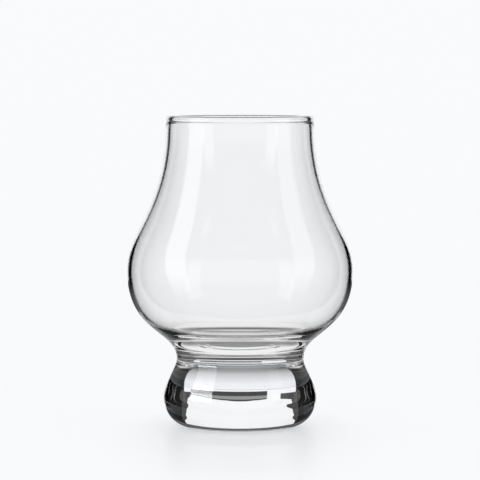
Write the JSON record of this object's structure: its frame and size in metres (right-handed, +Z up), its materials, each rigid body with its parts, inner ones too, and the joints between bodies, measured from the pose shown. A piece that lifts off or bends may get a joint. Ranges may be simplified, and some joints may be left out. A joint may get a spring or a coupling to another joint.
{
  "type": "whisky tumbler",
  "caption": "Clear whisky tumbler with a tulip shaped thin walled bowl, a pinched waist and a short heavy solid foot, for pouring, nosing and sipping spirits.",
  "frame": {"origin": "on the table, at the middle of the foot's resting face", "axes": "+Z up along the axis of the glass, +X to the right and +Y away from the viewer in the picture"},
  "size_m": [0.0816, 0.0816, 0.112],
  "materials": {
    "bowl_glass": "clear blown glass with a fire-polished lip",
    "foot_glass": "clear pressed glass, solid and heavy"
  },
  "bodies": {
    "root": {"bowl": "bowl_glass", "foot": "foot_glass"}
  },
  "joints": []
}
